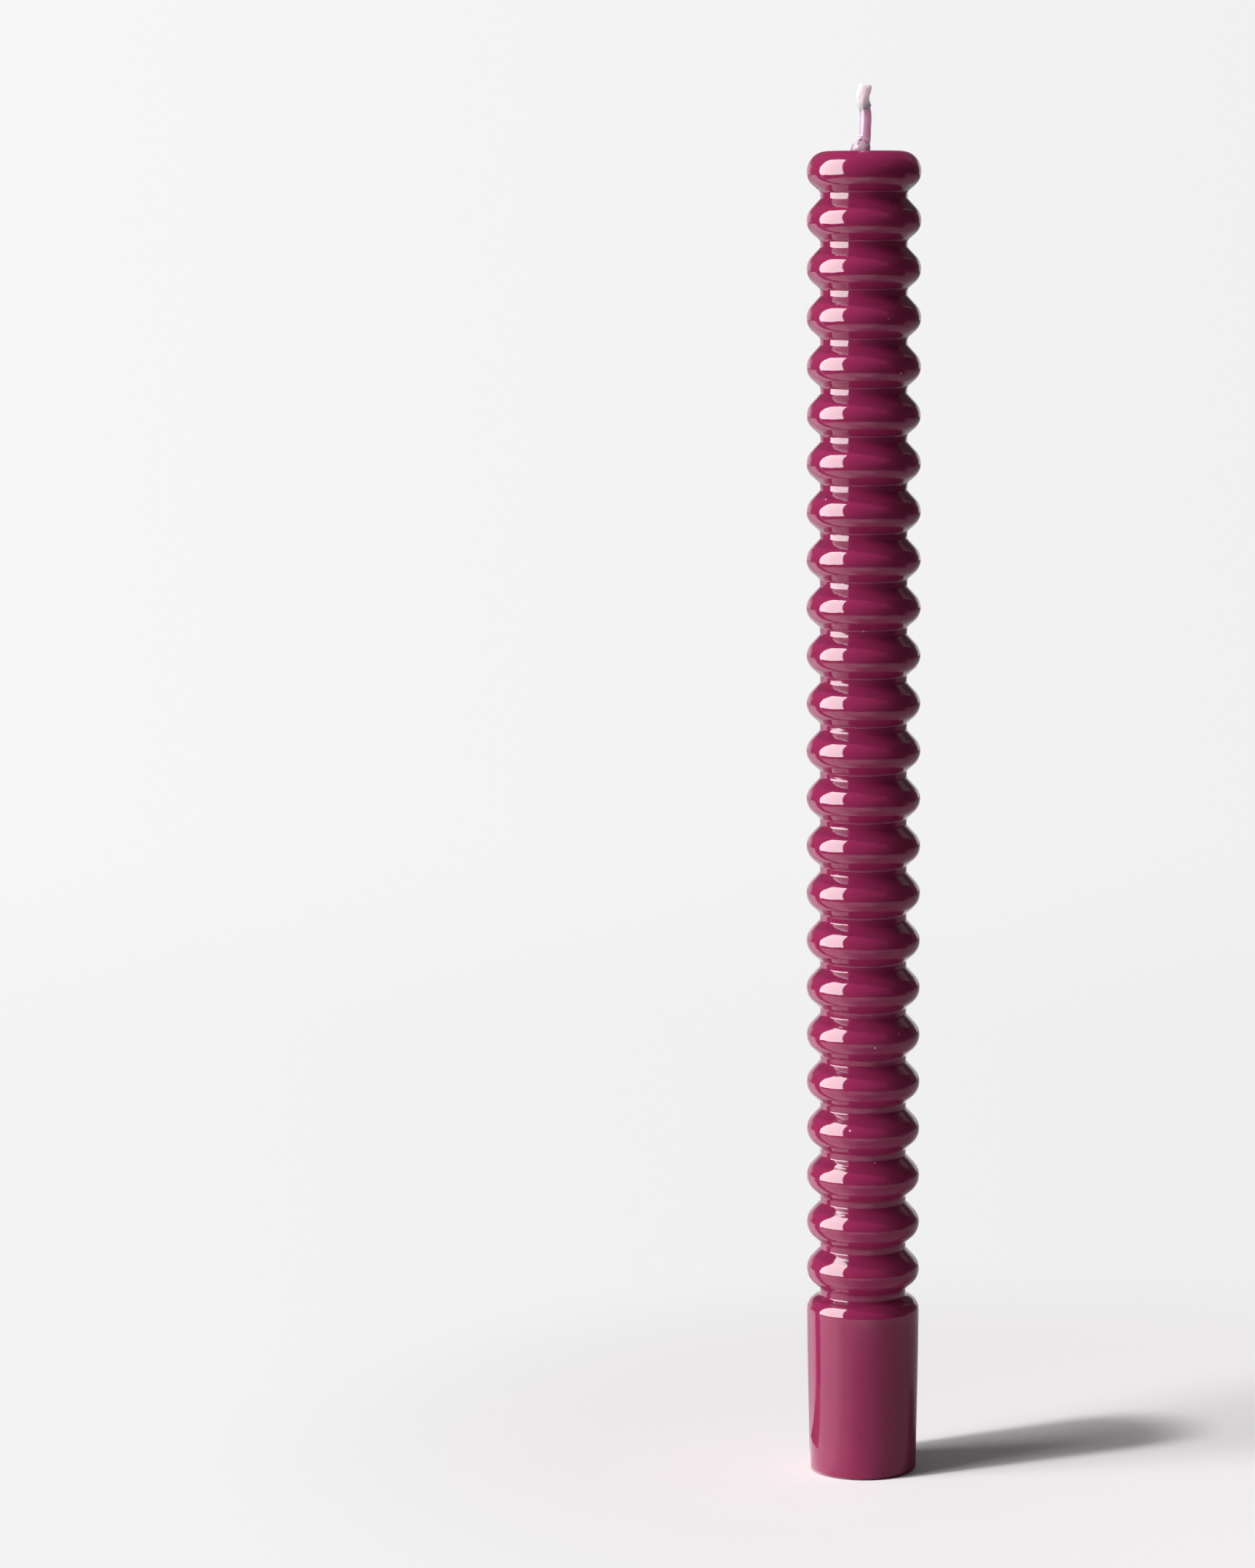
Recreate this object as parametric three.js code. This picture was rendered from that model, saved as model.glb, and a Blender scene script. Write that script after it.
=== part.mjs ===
// A ribbed dinner taper candle that stands on its own foot.
// Millimetres, +Z up. The origin is the centre of the foot's flat face, and the candle's axis is Z.
//
// The candle is four pieces. A braided cotton wick runs from the foot to the tip. A pressed wax
// core surrounds it, with V-shaped ribs cut round it on a lathe. A skin of coloured wax, built up by
// dipping, rounds those ribs over and closes the top. The same dip leaves a thin sleeve on the
// lower part of the bare wick, with a lopsided bead of wax where it meets the candle.

import * as THREE from "three";

// Driving sizes of the outside of the candle.
const RIB_COUNT = 24;
const RIB_PITCH = 9.25;
const RIB_RADIUS = 11;
const GROOVE_RADIUS = 8.4;
const FOOT_HEIGHT = 35.42;
const FOOT_RADIUS = 10.45;

// Roundings of the outside, where the dipped wax has flowed.
const CREST_ROUNDING = 3.4;
const TOP_ROUNDING = 3.9;
const FOOT_ROUNDING = 0.7;
// A groove has a short upright neck, with a round above it and a tighter one below it.
const NECK_HEIGHT = 0.85;
const GROOVE_ROUNDING_UNDER = 0.7;
const GROOVE_ROUNDING_OVER = 0.5;
// The neck's middle lies this far above the middle between two crests.
const GROOVE_RISE = 0.09;

// Wall thicknesses and the gaps between pieces.
const COAT_THICKNESS = 0.7;
const BOND_GAP = 0.1;
const WICK_GAP = 0.1;
const SLEEVE_GAP = 0.07;
const SLEEVE_THICKNESS = 0.21;

// The wick. Above the candle it leans and kinks a little, and its bare tip is fluffed out.
const WICK_RADIUS = 0.75;
const WICK_EXPOSED = 13.1;
const WICK_RECESS = 0.2;
const SLEEVE_HEIGHT = 8.4;
const TIP_HALF_WIDTH = 1.18;
const TIP_HALF_DEPTH = 0.85;

// Flat sides round each turned piece and round the wick.
const TURNED_SIDES = 24;
const WICK_SIDES = 12;

// Heights that follow from the driving sizes.
const topCrestHeight = FOOT_HEIGHT + (RIB_COUNT - 0.5) * RIB_PITCH - GROOVE_RISE;
const bodyHeight = topCrestHeight + TOP_ROUNDING;
const coreInset = COAT_THICKNESS + BOND_GAP;

function crestHeight(rib) {
  return FOOT_HEIGHT + (rib + 0.5) * RIB_PITCH - GROOVE_RISE;
}

function grooveHeight(rib) {
  return FOOT_HEIGHT + rib * RIB_PITCH;
}

// The slope where a straight flank touches both the crest's round and the groove's round.
// The two circles lie on opposite sides of the flank, so it is their inner common tangent.
function flankAngle(grooveRounding, heightBetween) {
  const across = GROOVE_RADIUS + grooveRounding - (RIB_RADIUS - CREST_ROUNDING);
  const reach = Math.hypot(across, heightBetween);
  return Math.atan2(heightBetween, across) - Math.acos((CREST_ROUNDING + grooveRounding) / reach);
}

const crestToNeck = (RIB_PITCH - NECK_HEIGHT) / 2;
const upperFlank = flankAngle(GROOVE_ROUNDING_OVER, crestToNeck + GROOVE_RISE);
const lowerFlank = flankAngle(GROOVE_ROUNDING_UNDER, crestToNeck - GROOVE_RISE);

// A point on a crest's round, `angle` above the horizontal.
function onCrest(height, angle) {
  return new THREE.Vector2(
    RIB_RADIUS - CREST_ROUNDING + CREST_ROUNDING * Math.cos(angle),
    height + CREST_ROUNDING * Math.sin(angle),
  );
}

// The outside of the coat from the foot's edge to the top face, as radius and height.
function coatOutside() {
  const points = [];
  for (const angle of [-Math.PI / 2, -Math.PI / 4, 0]) {
    points.push(
      new THREE.Vector2(
        FOOT_RADIUS - FOOT_ROUNDING + FOOT_ROUNDING * Math.cos(angle),
        BOND_GAP / 2 + FOOT_ROUNDING + FOOT_ROUNDING * Math.sin(angle),
      ),
    );
  }
  // The foot ends in a shoulder that is the upper half of one more rib.
  const shoulder = crestHeight(-1);
  for (const share of [0, 0.5, 1]) {
    points.push(onCrest(shoulder, share * upperFlank));
  }
  for (let rib = 0; rib < RIB_COUNT; rib++) {
    for (const side of [-0.5, 0.5]) {
      points.push(new THREE.Vector2(GROOVE_RADIUS, grooveHeight(rib) + side * NECK_HEIGHT));
    }
    for (const share of [-1, -0.5, 0]) {
      points.push(onCrest(crestHeight(rib), share * lowerFlank));
    }
    if (rib < RIB_COUNT - 1) {
      for (const share of [0.5, 1]) {
        points.push(onCrest(crestHeight(rib), share * upperFlank));
      }
    }
  }
  // The last rib is cut off by the top face, and rounds into it.
  for (const angle of [Math.PI / 6, Math.PI / 3, Math.PI / 2]) {
    points.push(
      new THREE.Vector2(
        RIB_RADIUS - TOP_ROUNDING + TOP_ROUNDING * Math.cos(angle),
        topCrestHeight + TOP_ROUNDING * Math.sin(angle),
      ),
    );
  }
  return points;
}

// The V-ribbed surface between coat and core, `inset` inside the coat's crests, grooves and top.
function ribbedLine(inset, bottom) {
  const points = [
    new THREE.Vector2(FOOT_RADIUS - inset, bottom),
    new THREE.Vector2(RIB_RADIUS - inset, crestHeight(-1)),
  ];
  for (let rib = 0; rib < RIB_COUNT; rib++) {
    points.push(new THREE.Vector2(GROOVE_RADIUS - inset, grooveHeight(rib)));
    points.push(new THREE.Vector2(RIB_RADIUS - inset, crestHeight(rib)));
  }
  points.push(new THREE.Vector2(RIB_RADIUS - TOP_ROUNDING, bodyHeight - inset));
  return points;
}

// A piece of revolution from a closed outline of radius and height, taken anticlockwise.
function turned(outline) {
  const closed = [...outline, outline[0].clone()];
  return new THREE.LatheGeometry(closed, TURNED_SIDES).rotateX(Math.PI / 2);
}

// A stack of level elliptical rings joined into one surface. Rings that rise face outwards, and
// rings that fall face inwards. A stack closes on itself if it is a sleeve, else it has flat ends.
function stacked(rings, isSleeve) {
  const positions = [];
  for (const ring of rings) {
    for (let side = 0; side < WICK_SIDES; side++) {
      const turn = (side / WICK_SIDES) * 2 * Math.PI;
      positions.push(
        ring.x + ring.halfWidth * Math.cos(turn),
        ring.y + ring.halfDepth * Math.sin(turn),
        ring.z,
      );
    }
  }
  const indices = [];
  const joins = isSleeve ? rings.length : rings.length - 1;
  for (let level = 0; level < joins; level++) {
    const low = level * WICK_SIDES;
    const high = ((level + 1) % rings.length) * WICK_SIDES;
    for (let side = 0; side < WICK_SIDES; side++) {
      const next = (side + 1) % WICK_SIDES;
      indices.push(low + side, low + next, high + next);
      indices.push(low + side, high + next, high + side);
    }
  }
  if (!isSleeve) {
    const last = (rings.length - 1) * WICK_SIDES;
    for (let side = 1; side < WICK_SIDES - 1; side++) {
      indices.push(0, side + 1, side);
      indices.push(last, last + side, last + side + 1);
    }
  }
  const geometry = new THREE.BufferGeometry();
  geometry.setAttribute("position", new THREE.Float32BufferAttribute(positions, 3));
  geometry.setIndex(indices);
  geometry.computeVertexNormals();
  return geometry;
}

// Where the exposed wick's centre lies: height above the top face, then sideways and forwards.
const WICK_LEAN = [
  [0.1, 0.12, 0],
  [2.6, 0.2, 0.03],
  [4.8, 0.27, 0.05],
  [6.3, 0.36, 0.05],
  [7.6, 0.22, 0.03],
  [SLEEVE_HEIGHT, 0.02, 0],
  [9.3, -0.2, -0.03],
  [10.2, -0.26, -0.05],
  [11.2, -0.06, -0.04],
  [12.2, 0.04, -0.02],
  [WICK_EXPOSED, 0.1, 0],
];

// The tip is widest at the kink, where a tuft stands out.
const TUFT_HEIGHT = 10.2;
const TUFT_SWELL = 0.12;

function wickRings() {
  const rings = [];
  for (const z of [WICK_RECESS, bodyHeight - COAT_THICKNESS]) {
    rings.push({ x: 0, y: 0, z, halfWidth: WICK_RADIUS, halfDepth: WICK_RADIUS });
  }
  for (const [height, x, y] of WICK_LEAN) {
    const bare = height > SLEEVE_HEIGHT;
    const swell = height === TUFT_HEIGHT ? TUFT_SWELL : 0;
    rings.push({
      x,
      y,
      z: bodyHeight + height,
      halfWidth: bare ? TIP_HALF_WIDTH + swell : WICK_RADIUS,
      halfDepth: bare ? TIP_HALF_DEPTH + swell : WICK_RADIUS,
    });
  }
  return rings;
}

// The bead at the sleeve's foot: height above the top face, extra half width, and shift sideways.
const BEAD = [
  [0.1, 0.8, -0.82],
  [1.0, 0.55, -0.6],
  [1.9, 0.2, -0.25],
  [2.6, 0, 0],
];

function sleeveRings() {
  const bore = WICK_RADIUS + SLEEVE_GAP;
  const wall = bore + SLEEVE_THICKNESS;
  const leanAt = (height) => {
    const after = WICK_LEAN.findIndex(([h]) => h >= height);
    if (after <= 0) return WICK_LEAN[0];
    const [h0, x0, y0] = WICK_LEAN[after - 1];
    const [h1, x1, y1] = WICK_LEAN[after];
    const share = (height - h0) / (h1 - h0);
    return [height, x0 + share * (x1 - x0), y0 + share * (y1 - y0)];
  };
  const outside = BEAD.map(([height, extra, shift]) => {
    const [, x, y] = leanAt(height);
    return {
      x: x + shift,
      y,
      z: bodyHeight + height,
      halfWidth: wall + extra,
      halfDepth: wall + extra / 2,
    };
  });
  const beadTop = BEAD[BEAD.length - 1][0];
  const sleeveLean = WICK_LEAN.filter(([height]) => height <= SLEEVE_HEIGHT);
  for (const [height, x, y] of sleeveLean) {
    // The sleeve stops just short of the fluffed tip.
    const z = bodyHeight + Math.min(height, SLEEVE_HEIGHT - 0.3);
    if (height > beadTop) outside.push({ x, y, z, halfWidth: wall, halfDepth: wall });
  }
  const inside = sleeveLean.map(([height, x, y]) => ({
    x,
    y,
    z: bodyHeight + Math.min(height, SLEEVE_HEIGHT - 0.3),
    halfWidth: bore,
    halfDepth: bore,
  }));
  return [...outside, ...inside.reverse()];
}

function waxCore() {
  const bore = WICK_RADIUS + WICK_GAP;
  const outline = [
    new THREE.Vector2(bore, 0),
    ...ribbedLine(coreInset, 0),
    new THREE.Vector2(bore, bodyHeight - coreInset),
  ];
  return turned(outline);
}

function colourCoat() {
  const hole = WICK_RADIUS + WICK_GAP;
  const outline = [
    ...coatOutside(),
    new THREE.Vector2(hole, bodyHeight),
    new THREE.Vector2(hole, bodyHeight - COAT_THICKNESS),
    ...ribbedLine(COAT_THICKNESS, BOND_GAP / 2).reverse(),
  ];
  return turned(outline);
}

// A named piece with its own wax or cotton finish.
function piece(name, geometry, color, roughness) {
  const material = new THREE.MeshStandardMaterial({ color, roughness, metalness: 0 });
  const mesh = new THREE.Mesh(geometry, material);
  mesh.name = name;
  return mesh;
}

const candle = new THREE.Group();
candle.add(piece("wax_core", waxCore(), 0xf0e2d6, 0.55));
candle.add(piece("colour_coat", colourCoat(), 0x8c2352, 0.12));
candle.add(piece("wick", stacked(wickRings(), false), 0xf0dbe3, 0.9));
candle.add(piece("wick_sleeve", stacked(sleeveRings(), true), 0xd992b6, 0.25));

export default candle;
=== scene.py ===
import math
import random

import bmesh
import bpy
from mathutils import Euler, Matrix, Vector, noise


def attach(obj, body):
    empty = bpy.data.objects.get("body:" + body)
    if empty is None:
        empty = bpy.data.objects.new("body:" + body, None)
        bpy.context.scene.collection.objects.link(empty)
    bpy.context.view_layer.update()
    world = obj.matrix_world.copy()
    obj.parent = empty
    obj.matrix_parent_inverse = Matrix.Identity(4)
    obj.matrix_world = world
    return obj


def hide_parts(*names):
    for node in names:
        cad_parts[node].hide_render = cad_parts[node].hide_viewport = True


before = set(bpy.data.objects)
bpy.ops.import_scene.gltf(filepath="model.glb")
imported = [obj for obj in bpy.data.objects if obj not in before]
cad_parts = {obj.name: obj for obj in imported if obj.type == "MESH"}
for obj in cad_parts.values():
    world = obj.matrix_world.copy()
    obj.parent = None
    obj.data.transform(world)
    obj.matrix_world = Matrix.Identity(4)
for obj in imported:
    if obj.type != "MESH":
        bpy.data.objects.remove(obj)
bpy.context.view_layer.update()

# The camera.
# It stands just under a metre off, level with the top of the candle, so the top is seen edge on
# and the foot from about 15 degrees above.
MM = 0.001
PHOTO_HEIGHT = 2156
SENSOR_MM = 36
LENS_IN_PHOTO_PIXELS = 6800
CAMERA_DISTANCE = 0.94923
CAMERA_HEIGHT = 0.25229
CAMERA_DOWN_DEG = 7.0254
CAMERA_LEFT_DEG = 2.7501
CAMERA_ROLL_DEG = -0.2765


def placed(name, data):
    """A new object in the scene."""
    thing = bpy.data.objects.new(name, data)
    bpy.context.scene.collection.objects.link(thing)
    return thing


camera_data = bpy.data.cameras.new("photo_camera")
camera_data.sensor_width = SENSOR_MM
camera_data.lens = LENS_IN_PHOTO_PIXELS / PHOTO_HEIGHT * SENSOR_MM
camera_data.clip_start = 0.01
camera_data.clip_end = 50
camera = placed("photo_camera", camera_data)
aim = Euler((math.radians(90 - CAMERA_DOWN_DEG), 0, math.radians(CAMERA_LEFT_DEG))).to_matrix()
roll = Matrix.Rotation(math.radians(CAMERA_ROLL_DEG), 3, "Z")
stand = Matrix.Translation((0, -CAMERA_DISTANCE, CAMERA_HEIGHT))
camera.matrix_world = stand @ (aim @ roll).to_4x4()
bpy.context.scene.camera = camera
bpy.context.scene.view_settings.view_transform = "Standard"


# The wax core.
# Pale wax powder pressed into a rod, with V ribs cut round it on a lathe and a hole down its middle
# for the wick. The coat hides all of it but the lower face, which is trimmed flat with a knife.
RIB_COUNT = 24
RIB_PITCH = 9.25 * MM
RIB_RADIUS = 11 * MM
GROOVE_RADIUS = 8.4 * MM
GROOVE_RISE = 0.09 * MM
FOOT_HEIGHT = 35.42 * MM
FOOT_RADIUS = 10.45 * MM
TOP_ROUNDING = 3.9 * MM
COAT_THICKNESS = 0.7 * MM
BOND_GAP = 0.1 * MM
WICK_HOLE = 0.85 * MM
CORE_SIDES = 64
# An edge that turns more than this stays sharp. Points of an outline closer than the join distance
# are one point, and the lathe's spindle is as thin.
SHARP_DEG = 40
JOIN_DISTANCE = 0.01 * MM
SPINDLE_RADIUS = 0.01 * MM

first_crest = FOOT_HEIGHT + RIB_PITCH / 2 - GROOVE_RISE
top_crest = first_crest + (RIB_COUNT - 1) * RIB_PITCH
body_height = top_crest + TOP_ROUNDING


class Wire:
    """A node socket that can be used in Python sums. Each sum adds its own Math node."""

    def __init__(self, bench, socket):
        self.bench = bench
        self.socket = socket

    def __add__(self, other):
        return self.bench.math("ADD", self, other)

    def __radd__(self, other):
        return self.bench.math("ADD", other, self)

    def __sub__(self, other):
        return self.bench.math("SUBTRACT", self, other)

    def __rsub__(self, other):
        return self.bench.math("SUBTRACT", other, self)

    def __mul__(self, other):
        return self.bench.math("MULTIPLY", self, other)

    def __rmul__(self, other):
        return self.bench.math("MULTIPLY", other, self)

    def __truediv__(self, other):
        return self.bench.math("DIVIDE", self, other)

    def __neg__(self):
        return self.bench.math("MULTIPLY", self, -1)


class Outputs:
    """What a node gives out, by name or by place."""

    def __init__(self, bench, node):
        self.bench = bench
        self.node = node

    def __getitem__(self, key):
        return Wire(self.bench, self.node.outputs[key])


class Bench:
    """A node tree while it is being put together."""

    def __init__(self, tree):
        self.tree = tree

    def add(self, kind, inputs=None, **settings):
        """Adds a node: its type, the values or wires of its sockets, and its settings."""
        node = self.tree.nodes.new(kind)
        for name, value in settings.items():
            setattr(node, name, value)
        self.fill(node, inputs or {})
        return Outputs(self, node)

    def fill(self, node, inputs):
        for key, value in inputs.items():
            for one in value if isinstance(value, list) else [value]:
                if isinstance(one, Wire):
                    self.tree.links.new(one.socket, node.inputs[key])
                else:
                    node.inputs[key].default_value = one

    def math(self, operation, *values):
        return self.add("ShaderNodeMath", dict(enumerate(values)), operation=operation)[0]

    def rise(self, value, low, high):
        """0 below low, 1 above high, and a smooth step between them."""
        limits = {"Value": value, "From Min": low, "From Max": high}
        return self.add("ShaderNodeMapRange", limits, interpolation_type="SMOOTHSTEP")[0]

    def band(self, value, low, high, falls, ends):
        """1 between high and falls, 0 below low and above ends, with smooth steps."""
        return self.rise(value, low, high) * (1 - self.rise(value, falls, ends))

    def vector(self, x, y, z):
        return self.add("ShaderNodeCombineXYZ", {0: x, 1: y, 2: z})[0]

    def split(self, vector):
        return self.add("ShaderNodeSeparateXYZ", {0: vector})

    def mix(self, share, first, second):
        """A colour that goes from first to second as share goes from 0 to 1."""
        blend = self.add("ShaderNodeMix", data_type="RGBA")
        sockets = [s for s in blend.node.inputs if s.enabled]
        for socket, value in zip(sockets, (share, first, second)):
            if isinstance(value, Wire):
                self.tree.links.new(value.socket, socket)
            else:
                socket.default_value = value
        return Wire(self, next(s for s in blend.node.outputs if s.enabled))


def finished(mesh):
    """Turns every face of a closed mesh outwards and shades it smooth between its sharp edges."""
    work = bmesh.new()
    work.from_mesh(mesh)
    bmesh.ops.recalc_face_normals(work, faces=work.faces)
    work.to_mesh(mesh)
    work.free()
    mesh.shade_smooth()
    mesh.set_sharp_from_angle(angle=math.radians(SHARP_DEG))


class Plan(Bench):
    """A geometry tree with named inputs, each a whole number, a length, an angle or a material."""

    KINDS = {int: "NodeSocketInt", float: "NodeSocketFloat", bpy.types.Material: "NodeSocketMaterial"}

    def __init__(self, name, inputs):
        super().__init__(bpy.data.node_groups.new(name, "GeometryNodeTree"))
        self.inputs = inputs
        face = self.tree.interface
        face.new_socket("Geometry", in_out="INPUT", socket_type="NodeSocketGeometry")
        face.new_socket("Geometry", in_out="OUTPUT", socket_type="NodeSocketGeometry")
        for label, value in inputs.items():
            face.new_socket(label, in_out="INPUT", socket_type=self.KINDS[type(value)])
        self.given = self.add("NodeGroupInput")

    def __getitem__(self, label):
        return self.given[label]

    def arc(self, across, up, radius, start, sweep, steps):
        """A round stretch of an outline, which has x as its radius and y as its height."""
        sizes = {"Resolution": steps + 1, "Radius": radius, "Start Angle": start, "Sweep Angle": sweep}
        bend = self.add("GeometryNodeCurveArc", sizes, mode="RADIUS")
        return self.moved(bend["Curve"], across, up)

    def line(self, start, end, cuts=0):
        """A straight stretch of an outline. Cuts keep the shading flat where it runs into a round."""
        ends = {"Start": self.vector(*start, 0), "End": self.vector(*end, 0)}
        stretch = self.add("GeometryNodeCurvePrimitiveLine", ends)["Curve"]
        return self.add("GeometryNodeSubdivideCurve", {"Curve": stretch, "Cuts": cuts})["Curve"]

    def moved(self, geometry, across, up):
        shift = {"Geometry": geometry, "Translation": self.vector(across, up, 0)}
        return self.add("GeometryNodeTransform", shift)["Geometry"]

    def joined(self, *parts):
        return self.add("GeometryNodeJoinGeometry", {"Geometry": list(parts)})["Geometry"]

    def real(self, geometry):
        """The geometry with its instances made into plain copies."""
        return self.add("GeometryNodeRealizeInstances", {"Geometry": geometry})["Geometry"]

    def stacked(self, section, count, pitch, height):
        """Copies of one rib's section, one above the other."""
        lowest = self.vector(0, height, 0)
        row = {"Count": count, "Start Location": lowest, "Offset": self.vector(0, pitch, 0)}
        points = self.add("GeometryNodeMeshLine", row)["Mesh"]
        return self.add("GeometryNodeInstanceOnPoints", {"Points": points, "Instance": section})[0]

    def swept(self, curve, section, capped=True):
        """The solid that a section makes along a curve."""
        sweep = {"Curve": curve, "Profile Curve": section, "Fill Caps": capped}
        return self.add("GeometryNodeCurveToMesh", sweep)["Mesh"]

    def turned(self, outline, sides):
        """The solid that a closed outline makes when it is turned once round the candle's axis."""
        edges = self.add("GeometryNodeCurveToMesh", {"Curve": self.real(outline)})["Mesh"]
        joints = {"Geometry": edges, "Distance": JOIN_DISTANCE}
        whole = self.add("GeometryNodeMergeByDistance", joints)["Geometry"]
        section = self.add("GeometryNodeMeshToCurve", {"Mesh": whole})["Curve"]
        circle = {"Resolution": sides, "Radius": SPINDLE_RADIUS}
        spindle = self.add("GeometryNodeCurvePrimitiveCircle", circle)["Curve"]
        solid = self.swept(spindle, self.moved(section, -SPINDLE_RADIUS, 0), capped=False)
        upright = {"Geometry": solid, "Rotation": (math.pi, 0, 0)}
        return self.add("GeometryNodeTransform", upright)["Geometry"]

    def position(self):
        return self.add("GeometryNodeInputPosition")["Position"]

    def shifted(self, geometry, offset):
        """The geometry, with each of its points moved by its own offset."""
        shift = {"Geometry": geometry, "Offset": offset}
        return self.add("GeometryNodeSetPosition", shift)["Geometry"]

    def marked(self, geometry, domain, name, value):
        """Stores a value on the geometry, for mark to read by its name."""
        kept = {"Geometry": geometry, "Name": name, "Value": value}
        return self.add("GeometryNodeStoreNamedAttribute", kept, data_type="FLOAT", domain=domain)[0]

    def mark(self, name):
        return self.add("GeometryNodeInputNamedAttribute", {"Name": name}, data_type="FLOAT")[0]

    def made(self, name, geometry, start=None):
        """Ends the tree, runs it on a new object, and leaves that object as a plain mesh."""
        painted = {"Geometry": self.real(geometry), "Material": self["Material"]}
        done = self.add("GeometryNodeSetMaterial", painted)["Geometry"]
        self.add("NodeGroupOutput", {"Geometry": done})
        piece = placed(name, start or bpy.data.meshes.new(name))
        modifier = piece.modifiers.new("shape", "NODES")
        modifier.node_group = self.tree
        for item in self.tree.interface.items_tree:
            if item.in_out == "INPUT" and item.name in self.inputs:
                modifier[item.identifier] = self.inputs[item.name]
        evaluated = piece.evaluated_get(bpy.context.evaluated_depsgraph_get())
        mesh = bpy.data.meshes.new_from_object(evaluated)
        piece.modifiers.remove(modifier)
        piece.data = mesh
        finished(mesh)
        return piece


def ribbed_line(plan, inset, bottom):
    """The V ribs between core and coat, from the foot to the top, as one chain of lines."""
    crest = plan["Rib Radius"] - inset
    groove = plan["Groove Radius"] - inset
    lowest = (plan["Foot Radius"] - inset, bottom)
    shoulder = (crest, plan["First Crest"] - plan["Rib Pitch"])
    first = (groove, plan["Foot Height"])
    rib_middle = plan["First Crest"] - plan["Foot Height"]
    rib = plan.joined(
        plan.line((groove, 0), (crest, rib_middle)),
        plan.line((crest, rib_middle), (groove, plan["Rib Pitch"])),
    )
    whole_ribs = plan["Rib Count"] - 1
    last_groove = plan["Foot Height"] + whole_ribs * plan["Rib Pitch"]
    last_crest = last_groove + rib_middle
    return plan.joined(
        plan.line(lowest, shoulder),
        plan.line(shoulder, first),
        plan.stacked(rib, whole_ribs, plan["Rib Pitch"], plan["Foot Height"]),
        plan.line((groove, last_groove), (crest, last_crest)),
        plan.line((crest, last_crest), (plan["Top Width"], plan["Body Height"] - inset)),
    )


def wax_sizes(material, sides):
    return {
        "Rib Count": RIB_COUNT,
        "Rib Pitch": RIB_PITCH,
        "Rib Radius": RIB_RADIUS,
        "Groove Radius": GROOVE_RADIUS,
        "Foot Height": FOOT_HEIGHT,
        "Foot Radius": FOOT_RADIUS,
        "First Crest": first_crest,
        "Top Width": RIB_RADIUS - TOP_ROUNDING,
        "Body Height": body_height,
        "Coat Thickness": COAT_THICKNESS,
        "Wick Hole": WICK_HOLE,
        "Sides": sides,
        "Material": material,
    }


class Finish(Bench):
    """A material's node tree, with its Principled shader ready."""

    def __init__(self, name, **constants):
        self.material = bpy.data.materials.new(name)
        self.material.use_nodes = True
        super().__init__(self.material.node_tree)
        self.shader = self.tree.nodes["Principled BSDF"]
        self.set(**constants)
        self.place = self.add("ShaderNodeTexCoord")["Object"]

    def stretched(self, x, y, z):
        """Object coordinates in repeats to a metre, each way."""
        return self.add("ShaderNodeMapping", {"Vector": self.place, "Scale": (x, y, z)})["Vector"]

    def noise(self, vector, detail=2.0):
        values = {"Vector": vector, "Scale": 1.0, "Detail": detail}
        return self.add("ShaderNodeTexNoise", values)["Fac"]

    def bump(self, height, distance):
        values = {"Height": height, "Distance": distance}
        self.fill(self.shader, {"Normal": self.add("ShaderNodeBump", values)["Normal"]})

    def set(self, **values):
        self.fill(self.shader, {key.replace("_", " "): value for key, value in values.items()})


core_finish = Finish("pressed_core_wax", IOR=1.44, Subsurface_Weight=0.2, Subsurface_Scale=0.002)
crumbs = core_finish.noise(core_finish.stretched(900, 900, 900), detail=3.0)
knife = core_finish.noise(core_finish.stretched(2500, 90, 90))
core_finish.set(
    Base_Color=core_finish.mix(crumbs, (0.80, 0.68, 0.60, 1), (0.93, 0.85, 0.79, 1)),
    Roughness=0.45 + 0.2 * crumbs,
)
core_finish.bump(crumbs + 0.6 * knife, 0.08 * MM)

core_plan = Plan("ribbed_core", wax_sizes(core_finish.material, CORE_SIDES))
core_inset = core_plan["Coat Thickness"] + BOND_GAP
core_top = core_plan["Body Height"] - core_inset
bore = core_plan["Wick Hole"]
core_outline = core_plan.joined(
    core_plan.line((bore, 0), (core_plan["Foot Radius"] - core_inset, 0)),
    ribbed_line(core_plan, core_inset, 0),
    core_plan.line((core_plan["Top Width"], core_top), (bore, core_top)),
    core_plan.line((bore, core_top), (bore, 0)),
)
core = core_plan.made("pressed_wax_core", core_plan.turned(core_outline, core_plan["Sides"]))
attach(core, "root")
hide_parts("wax_core")


# The colour coat.
# Raspberry wax built up by dipping. It rounds the V ribs over, pools in the grooves, and sets with
# a deep gloss that carries faint runs and specks. It is open under the foot.
CREST_ROUNDING = 3.4 * MM
NECK_HEIGHT = 0.85 * MM
NECK_LEAN = 0.03 * MM
UNDER_ROUNDING = 0.7 * MM
POOL_ROUNDING = 0.4 * MM
SHOULDER_ROUNDING = 2.7 * MM
SHOULDER_RISE = 1.15 * MM
FOOT_ROUNDING = 0.7 * MM
COAT_SIDES = 96
CREST_STEPS = 13
GROOVE_STEPS = 5
POOL_STEPS = 6
TOP_STEPS = 12
FOOT_STEPS = 6
FLANK_CUTS = 4
NECK_CUTS = 2
FOOT_CUTS = 15
# How far in the ribs dip, how far they drift up or down, and a ripple, with the scale of the noise
# behind each. The drift sets in over the last of the foot, so that its lower edge stays flat.
RIB_DIP = 0.08 * MM
RIB_DRIFT = 0.10 * MM
RIPPLE = 0.02 * MM
WIDTH_WAVES = 55.0
HEIGHT_WAVES = 45.0
RIPPLE_WAVES = 90.0
DRIFT_BLEND = 3 * MM
COAT_SEED = 7
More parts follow.
